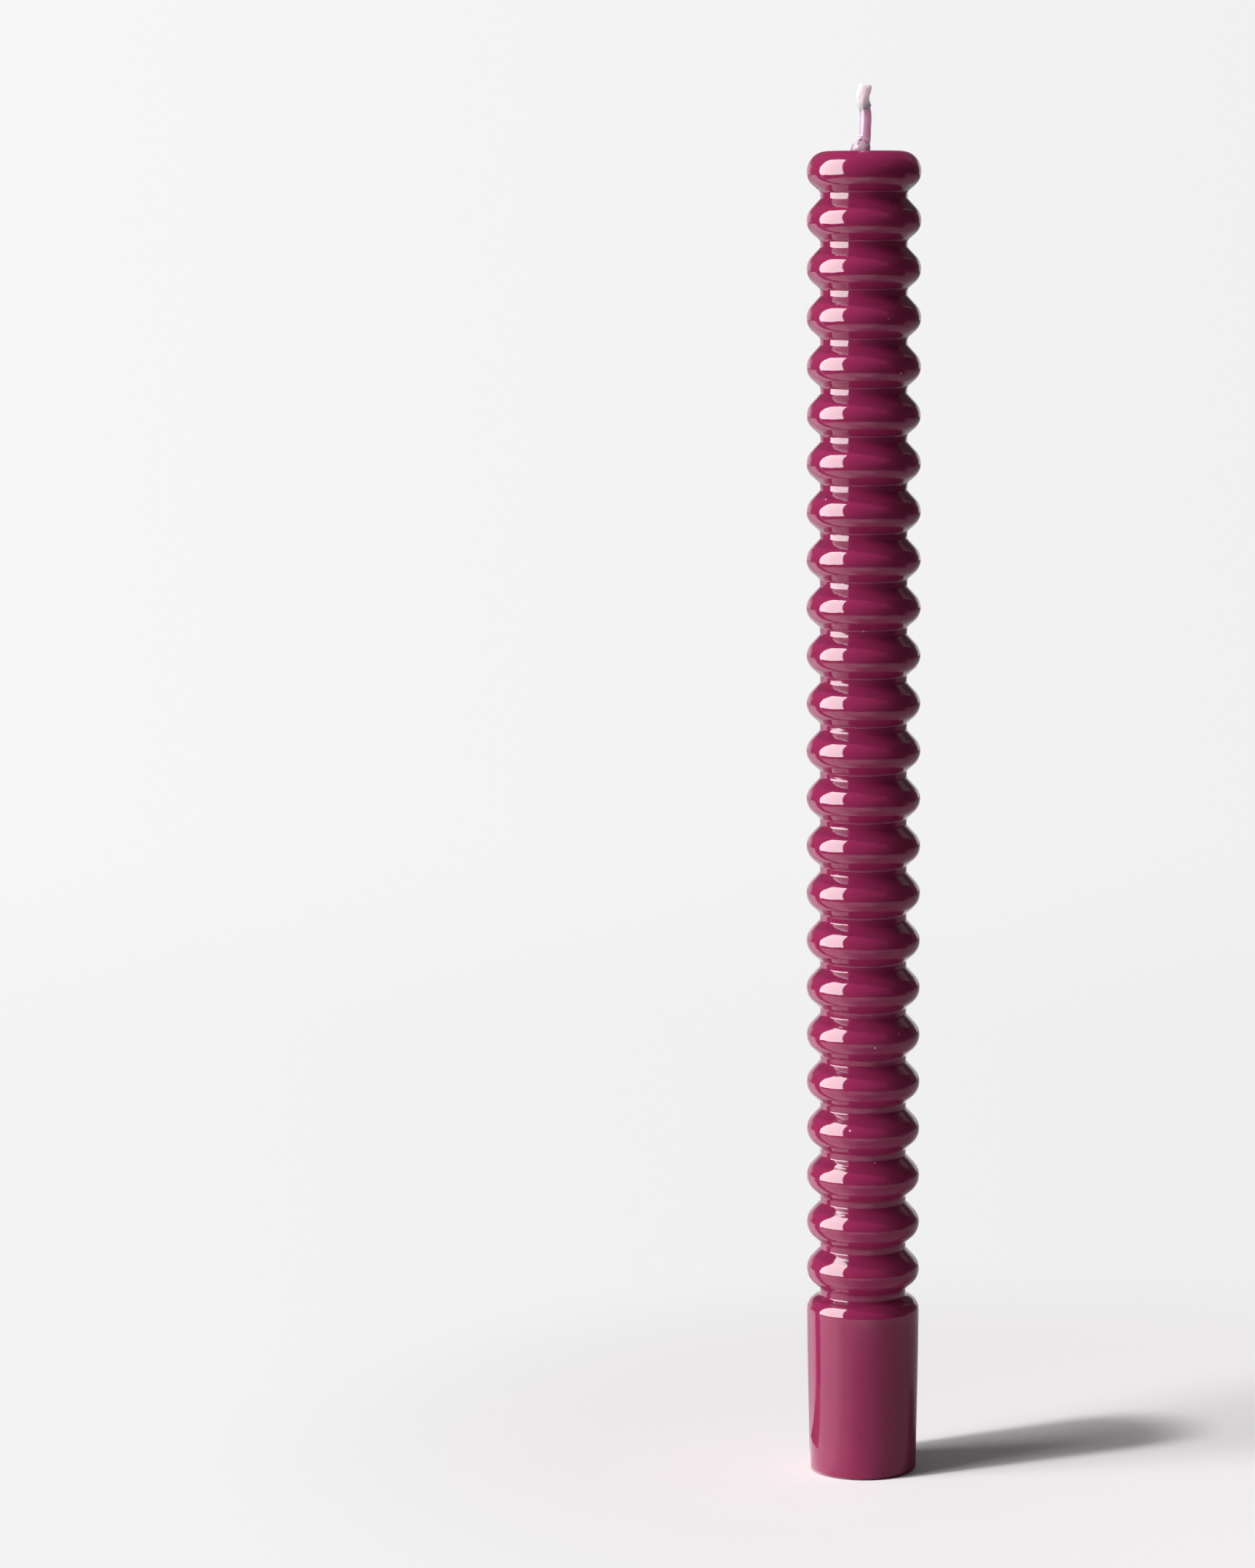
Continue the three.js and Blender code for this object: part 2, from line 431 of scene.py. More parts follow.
# Specks, one to a cell: cells to a metre, the speck's radius and its soft edge's as shares of a
# cell, and the share of the cells that stay bare.
SPECK_CELLS = 420.0
SPECK_RADIUS = 0.06
SPECK_EDGE = 0.11
BARE_CELLS = 0.93


def flank_angle(groove_radius, groove_rounding, height_between, crest_rounding=CREST_ROUNDING):
    """The slope of a straight flank that touches the crest's round and the groove's round."""
    across = groove_radius + groove_rounding - (RIB_RADIUS - crest_rounding)
    reach = math.hypot(across, height_between)
    return math.atan2(height_between, across) - math.acos((crest_rounding + groove_rounding) / reach)


coat_finish = Finish("raspberry_coat_wax", IOR=1.5, Subsurface_Weight=0.15, Subsurface_Scale=0.0015)
cells = {"Vector": coat_finish.place, "Scale": SPECK_CELLS}
speckle = coat_finish.add("ShaderNodeTexVoronoi", cells)
cell_draw = coat_finish.split(speckle["Color"])[0]
in_speck = 1 - coat_finish.rise(speckle["Distance"], SPECK_RADIUS, SPECK_EDGE)
speck = in_speck * coat_finish.rise(cell_draw, BARE_CELLS, BARE_CELLS + 0.01)
runs = coat_finish.noise(coat_finish.stretched(260, 260, 700))
cloud = coat_finish.noise(coat_finish.stretched(70, 70, 70), detail=3.0)
scratch = coat_finish.noise(coat_finish.stretched(500, 500, 9000), detail=1.0)
coat_colour = coat_finish.mix(cloud, (0.245, 0.0175, 0.074, 1), (0.300, 0.024, 0.095, 1))
coat_finish.set(
    Base_Color=coat_finish.mix(speck, coat_colour, (0.75, 0.30, 0.45, 1)),
    Roughness=0.05 + 0.03 * cloud + 0.3 * speck,
)
coat_finish.bump(runs + 0.05 * scratch + 0.3 * speck, 0.03 * MM)

half_flank = (RIB_PITCH - NECK_HEIGHT) / 2
upper_flank = half_flank + GROOVE_RISE
neck_top = GROOVE_RADIUS + NECK_LEAN
coat_sizes = {
    **wax_sizes(coat_finish.material, COAT_SIDES),
    "Crest Rounding": CREST_ROUNDING,
    "Top Rounding": TOP_ROUNDING,
    "Foot Rounding": FOOT_ROUNDING,
    "Under Rounding": UNDER_ROUNDING,
    "Pool Rounding": POOL_ROUNDING,
    "Neck Height": NECK_HEIGHT,
    "Neck Lean": NECK_LEAN,
    "Lower Slope": flank_angle(neck_top, UNDER_ROUNDING, half_flank - GROOVE_RISE),
    "Upper Slope": flank_angle(GROOVE_RADIUS, POOL_ROUNDING, upper_flank),
    "Shoulder Slope": flank_angle(
        GROOVE_RADIUS, POOL_ROUNDING, upper_flank - SHOULDER_RISE, SHOULDER_ROUNDING
    ),
    "Shoulder Rise": SHOULDER_RISE,
    "Shoulder Rounding": SHOULDER_ROUNDING,
    "Rib Dip": RIB_DIP,
    "Rib Drift": RIB_DRIFT,
    "Ripple": RIPPLE,
    "Seed": COAT_SEED,
}
coat_plan = Plan("dipped_coat", coat_sizes)


def on_circle(plan, across, up, radius, angle):
    """A point of a round: its radius and its height."""
    return (across + radius * plan.math("COSINE", angle), up + radius * plan.math("SINE", angle))


def groove_under(plan, height):
    """A groove's neck, the tight round above it, and the straight flank that it leads into."""
    neck = plan["Groove Radius"] + plan["Neck Lean"]
    across = neck + plan["Under Rounding"]
    crest_across = plan["Rib Radius"] - plan["Crest Rounding"]
    middle = height + (plan["First Crest"] - plan["Foot Height"])
    low = height - plan["Neck Height"] / 2
    high = height + plan["Neck Height"] / 2
    slope = plan["Lower Slope"]
    return plan.joined(
        plan.line((plan["Groove Radius"], low), (neck, high), NECK_CUTS),
        plan.arc(across, high, plan["Under Rounding"], math.pi, -slope, GROOVE_STEPS),
        plan.line(
            on_circle(plan, across, high, plan["Under Rounding"], math.pi - slope),
            on_circle(plan, crest_across, middle, plan["Crest Rounding"], -slope),
            FLANK_CUTS,
        ),
    )


def groove_over(plan, height, crest_height, crest_rounding, slope):
    """The flank at the top of a rib, and the round where the dip pooled in the groove above it."""
    across = plan["Groove Radius"] + plan["Pool Rounding"]
    crest_across = plan["Rib Radius"] - crest_rounding
    low = height - plan["Neck Height"] / 2
    return plan.joined(
        plan.line(
            on_circle(plan, crest_across, crest_height, crest_rounding, slope),
            on_circle(plan, across, low, plan["Pool Rounding"], math.pi + slope),
            FLANK_CUTS,
        ),
        plan.arc(across, low, plan["Pool Rounding"], math.pi + slope, -slope, POOL_STEPS),
    )


pitch = coat_plan["Rib Pitch"]
foot_height = coat_plan["Foot Height"]
foot_radius = coat_plan["Foot Radius"]
thickness = coat_plan["Coat Thickness"]
crest_rounding = coat_plan["Crest Rounding"]
lower_slope = coat_plan["Lower Slope"]
upper_slope = coat_plan["Upper Slope"]
crest_across = coat_plan["Rib Radius"] - crest_rounding
rib_middle = coat_plan["First Crest"] - foot_height
one_rib = coat_plan.joined(
    groove_under(coat_plan, 0),
    coat_plan.arc(
        crest_across, rib_middle, crest_rounding, -lower_slope, lower_slope + upper_slope, CREST_STEPS
    ),
    groove_over(coat_plan, pitch, rib_middle, crest_rounding, upper_slope),
)

quarter = math.pi / 2
whole_ribs = coat_plan["Rib Count"] - 1
last_groove = foot_height + whole_ribs * pitch
last_crest = last_groove + rib_middle
foot_rounding = coat_plan["Foot Rounding"]
foot_across = foot_radius - foot_rounding
foot_up = BOND_GAP / 2 + foot_rounding
shoulder_rounding = coat_plan["Shoulder Rounding"]
shoulder_slope = coat_plan["Shoulder Slope"]
shoulder_across = coat_plan["Rib Radius"] - shoulder_rounding
shoulder_up = coat_plan["First Crest"] - pitch + coat_plan["Shoulder Rise"]
coat_outside = coat_plan.joined(
    coat_plan.arc(foot_across, foot_up, foot_rounding, -quarter, quarter, FOOT_STEPS),
    coat_plan.line((foot_radius, foot_up), (coat_plan["Rib Radius"], shoulder_up), FOOT_CUTS),
    coat_plan.arc(shoulder_across, shoulder_up, shoulder_rounding, 0, shoulder_slope, CREST_STEPS),
    groove_over(coat_plan, foot_height, shoulder_up, shoulder_rounding, shoulder_slope),
    coat_plan.stacked(one_rib, whole_ribs, pitch, foot_height),
    groove_under(coat_plan, last_groove),
    coat_plan.arc(crest_across, last_crest, crest_rounding, -lower_slope, lower_slope, CREST_STEPS // 2),
    coat_plan.arc(coat_plan["Top Width"], last_crest, coat_plan["Top Rounding"], 0, quarter, TOP_STEPS),
)
top_width = coat_plan["Top Width"]
wick_hole = coat_plan["Wick Hole"]
coat_top = coat_plan["Body Height"]
coat_under = coat_top - thickness
inner_foot = foot_radius - thickness
coat_outline = coat_plan.joined(
    coat_plan.marked(coat_plan.real(coat_outside), "POINT", "outside", 1.0),
    coat_plan.line((top_width, coat_top), (wick_hole, coat_top)),
    coat_plan.line((wick_hole, coat_top), (wick_hole, coat_under)),
    coat_plan.line((wick_hole, coat_under), (top_width, coat_under)),
    ribbed_line(coat_plan, thickness, BOND_GAP / 2),
    coat_plan.line((inner_foot, BOND_GAP / 2), (foot_across, BOND_GAP / 2)),
)


def wandering(plan, height, scale):
    """A value that changes slowly with height, and is the same all round."""
    along = {"W": height, "Scale": scale, "Detail": 0.0}
    return plan.add("ShaderNodeTexNoise", along, noise_dimensions="1D")[0]


def uneven(plan, solid):
    """The coat's outside as a hand leaves it: no rib is quite as wide or as high as the next."""
    position = plan.position()
    place = plan.split(position)
    x, y, z = place["X"], place["Y"], place["Z"]
    radius = plan.math("SQRT", x * x + y * y)
    outside = plan.mark("outside")
    ribs = plan.band(z, FOOT_HEIGHT - DRIFT_BLEND, FOOT_HEIGHT, top_crest, body_height)
    width = wandering(plan, z + plan["Seed"], WIDTH_WAVES)
    height = wandering(plan, z - plan["Seed"], HEIGHT_WAVES)
    around = {"Vector": position, "Scale": RIPPLE_WAVES, "Detail": 1.0}
    ripple = plan.add("ShaderNodeTexNoise", around)[0]
    inward = outside * (width * plan["Rib Dip"] + ripple * plan["Ripple"]) / radius
    lift = outside * ribs * (height - 0.5) * 2 * plan["Rib Drift"]
    moved = plan.shifted(solid, plan.vector(-x * inward, -y * inward, lift))
    return plan.add("GeometryNodeRemoveAttribute", {"Geometry": moved, "Name": "outside"})[0]


coat_solid = uneven(coat_plan, coat_plan.turned(coat_outline, coat_plan["Sides"]))
coat = coat_plan.made("dipped_colour_coat", coat_solid)
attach(coat, "root")
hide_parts("colour_coat")


# The wick.
# Three strands of bleached cotton yarn braided round each other, drawn through the core while it is
# pressed. It is stiff with wax. Its bare tip was cut, and has swollen and frayed.
WICK_RECESS = 0.2 * MM
WICK_EXPOSED = 12.4 * MM
SLEEVE_HEIGHT = 8.4 * MM
STRAND_COUNT = 3
STRAND_RADIUS = 0.34 * MM
STRAND_PLIES = 5
PLY_DEPTH = 0.8
PLY_TURN = 2.6 * MM
BRAID_PITCH = 4.4 * MM
BRAID_HALF_WIDTH = 0.38 * MM
BRAID_HALF_DEPTH = 0.2 * MM
STRAND_SPREAD = 0.2 * MM
STUB_RADIUS = 1.3 * MM
STUB_FOLDS = 7
STUB_FOLD_DEPTH = 0.9
STUB_STEPS = 80
STUB_SIDES = 70
STUB_START = 0.8
STUB_SWELL = 0.24
STUB_SWELL_END = 0.2
STUB_TAPER = 0.14
STUB_TAPER_START = 0.45
STUB_TWIST = 0.9
TIP_LUMP = 0.15 * MM
LUMP_SCALE = 1100.0
WICK_STEPS = 1000
FIBRE_DENSITY = 1.5e6
FIBRE_LENGTH = 0.3 * MM
FIBRE_RADIUS = 0.018 * MM
FIBRE_KNEE = 0.6
FIBRE_REACH = 0.5
FIBRE_TILT = 0.5
FIBRE_STEPS = 5
FIBRE_SIDES = 4
WICK_SEED = 4
# The tip starts at the sleeve's height. The stub and the crumpling start below that, and the
# strands end above it. Fibres stand between a margin above it and a margin below the end.
STUB_BELOW = 0.6 * MM
STRANDS_ABOVE = 0.4 * MM
SPREAD_ABOVE = 1.2 * MM
CRUMPLE_BELOW = 0.4 * MM
CRUMPLE_ABOVE = 0.8 * MM
FRAY_ABOVE = 0.5 * MM
FRAY_MARGIN = 0.7 * MM
# The guide line is straight to the first gap below the top face, with a last point at the second.
GUIDE_STEPS = 30
GUIDE_STRAIGHT_GAP = 3 * MM
GUIDE_LAST_GAP = 1.2 * MM
# Where the exposed wick's middle lies, in millimetres: height above the top face, then how far to
# the right and how far back.
WICK_LEAN = [
    (0.1, 0.12, 0),
    (2.6, 0.2, 0.03),
    (4.8, 0.27, 0.05),
    (6.3, 0.36, 0.05),
    (7.6, 0.22, 0.03),
    (8.4, 0.02, 0),
    (9.2, -0.2, -0.03),
    (10.3, -0.22, -0.05),
    (11.3, 0.02, -0.04),
    (11.9, 0.12, -0.02),
    (WICK_EXPOSED / MM, 0.16, 0),
]

# Light scatters deep in the waxed cotton, and as deep in the sleeve's thin wax.
DEEP = {"Subsurface_Weight": 1.0, "Subsurface_Scale": 0.008, "Subsurface_Radius": (1, 0.8, 0.9)}

cotton = Finish("waxed_cotton", IOR=1.45, **DEEP)
yarn = cotton.noise(cotton.stretched(9000, 9000, 1500))
wax_in_yarn = cotton.noise(cotton.stretched(1600, 1600, 1200), detail=3.0)
cotton.set(
    Base_Color=cotton.mix(wax_in_yarn, (0.86, 0.48, 0.60, 1), (0.91, 0.64, 0.73, 1)),
    Roughness=0.75 - 0.3 * wax_in_yarn,
)
cotton.bump(yarn + 2 * wax_in_yarn, 0.015 * MM)

wick_plan = Plan(
    "braided_wick",
    {
        "Strand Count": STRAND_COUNT,
        "Strand Radius": STRAND_RADIUS,
        "Strand Plies": STRAND_PLIES,
        "Ply Turn": PLY_TURN,
        "Braid Pitch": BRAID_PITCH,
        "Half Width": BRAID_HALF_WIDTH,
        "Half Depth": BRAID_HALF_DEPTH,
        "Strand Spread": STRAND_SPREAD,
        "Stub Radius": STUB_RADIUS,
        "Stub Folds": STUB_FOLDS,
        "Stub Steps": STUB_STEPS,
        "Stub Sides": STUB_SIDES,
        "Tip Lump": TIP_LUMP,
        "Tip Start": body_height + SLEEVE_HEIGHT,
        "Steps": WICK_STEPS,
        "Fibre Density": FIBRE_DENSITY,
        "Fibre Length": FIBRE_LENGTH,
        "Fibre Radius": FIBRE_RADIUS,
        "Seed": WICK_SEED,
        "Material": cotton.material,
    },
)


def trimmed(plan, curve, start, end):
    """The stretch of a curve between two lengths along it."""
    return plan.add("GeometryNodeTrimCurve", {0: curve, 4: start, 5: end}, mode="LENGTH")[0]


def resampled(plan, curve, count):
    return plan.add("GeometryNodeResampleCurve", {"Curve": curve, "Count": count})["Curve"]


def tilted(plan, curve, angle):
    return plan.add("GeometryNodeSetCurveTilt", {"Curve": curve, "Tilt": angle})["Curve"]


def lobed(plan, lobes, radius, depth):
    """A round section with lobes, for the plies of a strand or the folds of the stub."""
    star = {"Points": lobes, "Inner Radius": depth * radius, "Outer Radius": radius}
    return plan.add("GeometryNodeCurveStar", star)["Curve"]


def middle_line(plan):
    """The wick's middle, as a smooth curve through the points of the guide."""
    corners = plan.add("GeometryNodeMeshToCurve", {"Mesh": plan["Geometry"]})["Curve"]
    smooth = plan.add("GeometryNodeCurveSplineType", {"Curve": corners}, spline_type="CATMULL_ROM")
    return resampled(plan, smooth["Curve"], plan["Steps"])


def braided(plan, line):
    """The strands, each a twisted yarn that weaves from side to side and over its neighbours."""
    hidden = trimmed(plan, line, 0.0, plan["Tip Start"] + STRANDS_ABOVE)
    wanted = {"Geometry": hidden, "Amount": plan["Strand Count"]}
    copies = plan.add("GeometryNodeDuplicateElements", wanted, domain="SPLINE")
    strands = plan.marked(copies["Geometry"], "CURVE", "strand", copies["Duplicate Index"])
    length = plan.add("GeometryNodeSplineParameter")["Length"]
    tip = plan.rise(length, plan["Tip Start"] - STUB_BELOW, plan["Tip Start"] + SPREAD_ABOVE)
    turn = 2 * math.pi * (length / plan["Braid Pitch"] + plan.mark("strand") / plan["Strand Count"])
    across = (plan["Half Width"] + tip * plan["Strand Spread"]) * plan.math("SINE", turn)
    over = plan["Half Depth"] * plan.math("SINE", 2 * turn)
    laid = plan.shifted(strands, plan.vector(across, over, 0))
    twisted = tilted(plan, laid, 2 * math.pi * length / plan["Ply Turn"])
    return plan.swept(twisted, lobed(plan, plan["Strand Plies"], plan["Strand Radius"], PLY_DEPTH))


def matted(plan, line):
    """The bare tip, where cold wax has matted the strands into one folded stub with a cut top."""
    end = trimmed(plan, line, plan["Tip Start"] - STUB_BELOW, plan["Tip Start"] + WICK_EXPOSED)
    stub = resampled(plan, end, plan["Stub Steps"])
    share = plan.add("GeometryNodeSplineParameter")["Factor"]
    swell = STUB_SWELL * plan.rise(share, 0, STUB_SWELL_END)
    taper = STUB_TAPER * plan.rise(share, STUB_TAPER_START, 1)
    fullness = {"Curve": stub, "Radius": STUB_START + swell - taper}
    sized = plan.add("GeometryNodeSetCurveRadius", fullness)["Curve"]
    section = lobed(plan, plan["Stub Folds"], plan["Stub Radius"], STUB_FOLD_DEPTH)
    section = resampled(plan, section, plan["Stub Sides"])
    return plan.swept(tilted(plan, sized, STUB_TWIST * share), section)


def crumpled(plan, mesh):
    """Pushes the bare tip in and out, as the cut and the cold wax have left it."""
    place = plan.position()
    height = plan.split(place)["Z"]
    bare = plan.rise(height, plan["Tip Start"] - CRUMPLE_BELOW, plan["Tip Start"] + CRUMPLE_ABOVE)
    grain = {"Vector": place, "Scale": LUMP_SCALE, "Detail": 3.0}
    lumps = plan.add("ShaderNodeTexNoise", grain)["Fac"]
    push = (lumps - 0.5) * 2 * plan["Tip Lump"] * bare
    outward = {"Vector": plan.add("GeometryNodeInputNormal")["Normal"], "Scale": push}
    return plan.shifted(mesh, plan.add("ShaderNodeVectorMath", outward, operation="SCALE")["Vector"])


def frayed(plan, mesh):
    """Short loose fibres that stand off the bare tip."""
    height = plan.split(plan.position())["Z"]
    lowest = plan["Tip Start"] + FRAY_ABOVE
    highest = plan["Tip Start"] + WICK_EXPOSED - SLEEVE_HEIGHT - FRAY_MARGIN
    bare = plan.math("GREATER_THAN", height, lowest) * plan.math("LESS_THAN", height, highest)
    roots = {"Mesh": mesh, "Selection": bare, "Density": plan["Fibre Density"], "Seed": plan["Seed"]}
    spots = plan.add("GeometryNodeDistributePointsOnFaces", roots)
    length = plan["Fibre Length"]
    bend = {
        "Resolution": FIBRE_STEPS,
        "Start": (0, 0, 0),
        "Middle": plan.vector(0, 0, length * FIBRE_KNEE),
        "End": plan.vector(length * FIBRE_REACH, 0, length),
    }
    bent = plan.add("GeometryNodeCurveQuadraticBezier", bend)["Curve"]
    circle = {"Resolution": FIBRE_SIDES, "Radius": plan["Fibre Radius"]}
    fibre = plan.swept(bent, plan.add("GeometryNodeCurvePrimitiveCircle", circle)["Curve"])
    limits = {
        "Min": (-FIBRE_TILT, -FIBRE_TILT, -math.pi),
        "Max": (FIBRE_TILT, FIBRE_TILT, math.pi),
        "Seed": plan["Seed"],
    }
    spin = plan.add("FunctionNodeRandomValue", limits, data_type="FLOAT_VECTOR")["Value"]
    turn = {"Rotation": spots["Rotation"], "Rotate By": spin}
    facing = plan.add("FunctionNodeRotateRotation", turn, rotation_space="LOCAL")[0]
    stand = {"Points": spots["Points"], "Instance": fibre, "Rotation": facing}
    return plan.joined(mesh, plan.add("GeometryNodeInstanceOnPoints", stand)[0])


straight_length = body_height - GUIDE_STRAIGHT_GAP - WICK_RECESS
guide_points = [(0, 0, WICK_RECESS + straight_length * i / GUIDE_STEPS) for i in range(GUIDE_STEPS + 1)]
guide_points.append((0, 0, body_height - GUIDE_LAST_GAP))
guide_points += [(x * MM, y * MM, body_height + up * MM) for up, x, y in WICK_LEAN]
guide = bpy.data.meshes.new("wick_guide")
guide.from_pydata(guide_points, [(i, i + 1) for i in range(len(guide_points) - 1)], [])
wick_line = middle_line(wick_plan)
wick_solid = wick_plan.joined(braided(wick_plan, wick_line), matted(wick_plan, wick_line))
wick = wick_plan.made("braided_cotton_wick", frayed(wick_plan, crumpled(wick_plan, wick_solid)), guide)
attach(wick, "root")
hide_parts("wick")


# The wick sleeve.
# The pink wax that the dip leaves on the lower part of the bare wick. It has soaked into the braid,
# so that only a pinhole is left in it, and it cracks into flakes over a lopsided bead at its foot.
BORE_RADIUS = 0.1 * MM
SLEEVE_RADIUS = 1.1 * MM
SLEEVE_END = 8.15 * MM
SLEEVE_SIDES = 40
RING_STEP = 0.16 * MM
LIP_RISE = 0.08 * MM
LIP_INSET = 0.1 * MM
# The bead, in millimetres: height above the top face, extra half width, and shift to the right.
BEAD = [(0.04, 0.80, -0.82), (0.6, 0.62, -0.74), (1.3, 0.42, -0.5), (2.1, 0.16, -0.2), (2.8, 0, 0)]
# The surface, in millimetres: how rough it is all over and among the flakes, and where those end.
# Its lumps are closer together round the wick than along it, and finer among the flakes.
ROUGH = 0.05
FLAKY_ROUGH = 0.35
FLAKY_TOP = 3
LUMPS_ROUND = 2
LUMPS_ALONG = 1.2
FLAKY_LUMPS = 1.9
# The flakes, in millimetres, on the left half of the bead, each a grid of points that narrows
# upwards. The random share of a point's place along its row makes the edge ragged.
FLAKE_COUNT = 9
FLAKE_SEED = 11
FLAKE_POINTS = 4
FLAKE_THICKNESS = 0.09
FLAKE_ROOT = 0.2
FLAKE_NARROWING = 0.45
FLAKE_RAGGED = 0.12
FLAKE_LOWEST = 0.3
FLAKE_SPAN = 2.4
FLAKE_SPREAD_DEG = 75
FLAKE_SIZES = (0.5, 1.0)
FLAKE_CURLS = (0.5, 1.2)
# Pale patches where the wax is frosted, near the foot and near the bare tip.
FOOT_FROST_END = (1.6 * MM, 3.2 * MM)
FOOT_FROST_PATCHES = (0.42, 0.56)
TIP_FROST_START = (7.2 * MM, 8.2 * MM)
TIP_FROST_PATCHES = (0.5, 0.6)


def between(table, height):
    """The values of a table's row at a height, on straight lines between its rows."""
    if height <= table[0][0]:
        return table[0][1:]
    for low, high in zip(table, table[1:]):
        if height <= high[0]:
            share = (height - low[0]) / (high[0] - low[0])
            return tuple(a + share * (b - a) for a, b in zip(low[1:], high[1:]))
    return table[-1][1:]


def sleeve_ring(work, height, radius, outside):
    """One ring of the sleeve at a height in millimetres above the top face."""
    x, y = between(WICK_LEAN, height)
    extra, shift = between(BEAD, height) if outside else (0, 0)
    ring = []
    for side in range(SLEEVE_SIDES):
        turn = 2 * math.pi * side / SLEEVE_SIDES
        along = Vector((math.cos(turn), math.sin(turn), 0))
        rough = 0
        if outside:
            flaky = max(0, 1 - height / FLAKY_TOP)
            spot = Vector((along.x * LUMPS_ROUND, along.y * LUMPS_ROUND, height * LUMPS_ALONG))
            rough = ROUGH * noise.noise(spot) + flaky * FLAKY_ROUGH * noise.noise(spot * FLAKY_LUMPS)
        wide = radius / MM + extra + rough
        deep = radius / MM + extra / 2 + rough
        ring.append(work.verts.new((
            (x + shift + wide * along.x) * MM,
            (y + deep * along.y) * MM,
            body_height + height * MM,
        )))
    return ring


def join_rings(work, rings):
    for low, high in zip(rings, rings[1:] + rings[:1]):
        for side in range(SLEEVE_SIDES):
            after = (side + 1) % SLEEVE_SIDES
            work.faces.new((low[side], low[after], high[after], high[side]))


def flake(work, height, turn, size, curl, chance):
    """A thin, curled chip of wax that stands off the sleeve."""
    x, y = between(WICK_LEAN, height)
    extra, shift = between(BEAD, height)
    out = Vector((math.cos(turn), math.sin(turn), 0))
    side = Vector((-out.y, out.x, 0))
    reach = SLEEVE_RADIUS / MM + extra
    edge = Vector((x + shift + reach * out.x, y + (reach - extra / 2) * out.y, height))
    start = edge - FLAKE_ROOT * out
    last = FLAKE_POINTS - 1
    layers = []
    for thickness in (0, FLAKE_THICKNESS):
        grid = []
        for row in range(FLAKE_POINTS):
            share = row / last
            rise = out * math.sin(curl * share) + Vector((0, 0, 1)) * math.cos(curl * share)
            line = []
            for column in range(FLAKE_POINTS):
                ragged = FLAKE_RAGGED * (chance.random() - 0.5) * (thickness == 0)
                off = (column - last / 2) / last * (1 - FLAKE_NARROWING * share) + ragged
                point = start + side * off * size + rise * share * size + out * thickness
                line.append(work.verts.new((point.x * MM, point.y * MM, body_height + point.z * MM)))
            grid.append(line)
        layers.append(grid)
    for grid in layers:
        for low, high in zip(grid, grid[1:]):
            for i in range(last):
                work.faces.new((low[i], low[i + 1], high[i + 1], high[i]))
    rims = []
    for grid in layers:
        right = [line[last] for line in grid[1:]]
        left = [line[0] for line in grid[last - 1:0:-1]]
        rims.append(grid[0] + right + grid[last][last - 1::-1] + left)
    first, second = rims
    for i in range(len(first)):
        after = (i + 1) % len(first)
        work.faces.new((first[i], first[after], second[after], second[i]))


pink_wax = Finish("pink_sleeve_wax", IOR=1.47, **DEEP)
height_up = pink_wax.split(pink_wax.place)["Z"] - body_height
patches = pink_wax.noise(pink_wax.stretched(1500, 1500, 1500), detail=3.0)
at_foot = 1 - pink_wax.rise(height_up, *FOOT_FROST_END)
near_tip = pink_wax.rise(height_up, *TIP_FROST_START)
frosted = at_foot * pink_wax.rise(patches, *FOOT_FROST_PATCHES)
frosted = frosted + near_tip * pink_wax.rise(patches, *TIP_FROST_PATCHES)
pink_wax.set(
    Base_Color=pink_wax.mix(frosted, (0.92, 0.36, 0.55, 1), (0.96, 0.62, 0.75, 1)),
    Roughness=0.16 + 0.4 * frosted,
)
pink_wax.bump(patches, 0.05 * MM)

sleeve_work = bmesh.new()
lowest_ring = BEAD[0][0]
ring_span = SLEEVE_END / MM - lowest_ring
ring_count = round(ring_span / (RING_STEP / MM))
heights = [lowest_ring + ring_span * i / ring_count for i in range(ring_count + 1)]
outer_rings = [sleeve_ring(sleeve_work, up, SLEEVE_RADIUS, True) for up in heights]
outer_rings.append(sleeve_ring(sleeve_work, (SLEEVE_END + LIP_RISE) / MM, SLEEVE_RADIUS - LIP_INSET, True))
inner_rings = [sleeve_ring(sleeve_work, up, BORE_RADIUS, False) for up in reversed(heights)]
join_rings(sleeve_work, outer_rings + inner_rings)
chance = random.Random(FLAKE_SEED)
for number in range(FLAKE_COUNT):
    flake(
        sleeve_work,
        height=FLAKE_LOWEST + FLAKE_SPAN * number / FLAKE_COUNT,
        turn=math.radians(180 + chance.uniform(-FLAKE_SPREAD_DEG, FLAKE_SPREAD_DEG)),
        size=chance.uniform(*FLAKE_SIZES),
        curl=chance.uniform(*FLAKE_CURLS),
        chance=chance,
    )
sleeve_mesh = bpy.data.meshes.new("dipped_wick_sleeve")
sleeve_work.to_mesh(sleeve_mesh)
sleeve_work.free()
sleeve_mesh.materials.append(pink_wax.material)
finished(sleeve_mesh)
sleeve = placed("dipped_wick_sleeve", sleeve_mesh)
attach(sleeve, "root")
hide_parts("wick_sleeve")


# The table and the studio.
# A sheet of white paper that ends a third of a metre in front of the candle, with a pale backdrop
# and a dark room. The tall window on the left is two panels, one for the gloss and one for the soft
# light. A small lamp high up adds to the soft light.
SHINE_SCALE = 1.05
SHINE_WIDTH = 0.9 * SHINE_SCALE
SHINE_HEIGHT = 1.33 * SHINE_SCALE
SHINE_CENTRE = (-0.784 * SHINE_SCALE, -0.092 * SHINE_SCALE, 0.135 + 0.51 * SHINE_SCALE)
SHINE_FACING = (0.769, 0.636, -0.067)
SHINE_UP = (-0.07, 0.16, 0.98)
SHINE_RADIANCE = 13.4
GLOW_AZIMUTH_DEG = -65
GLOW_ELEVATION_DEG = 36
GLOW_DISTANCE = 1.6
GLOW_WIDTH = 0.7
GLOW_HEIGHT = 1.3
GLOW_RADIANCE = 8.0
LAMP_AZIMUTH_DEG = -60.5
LAMP_ELEVATION_DEG = 78.8
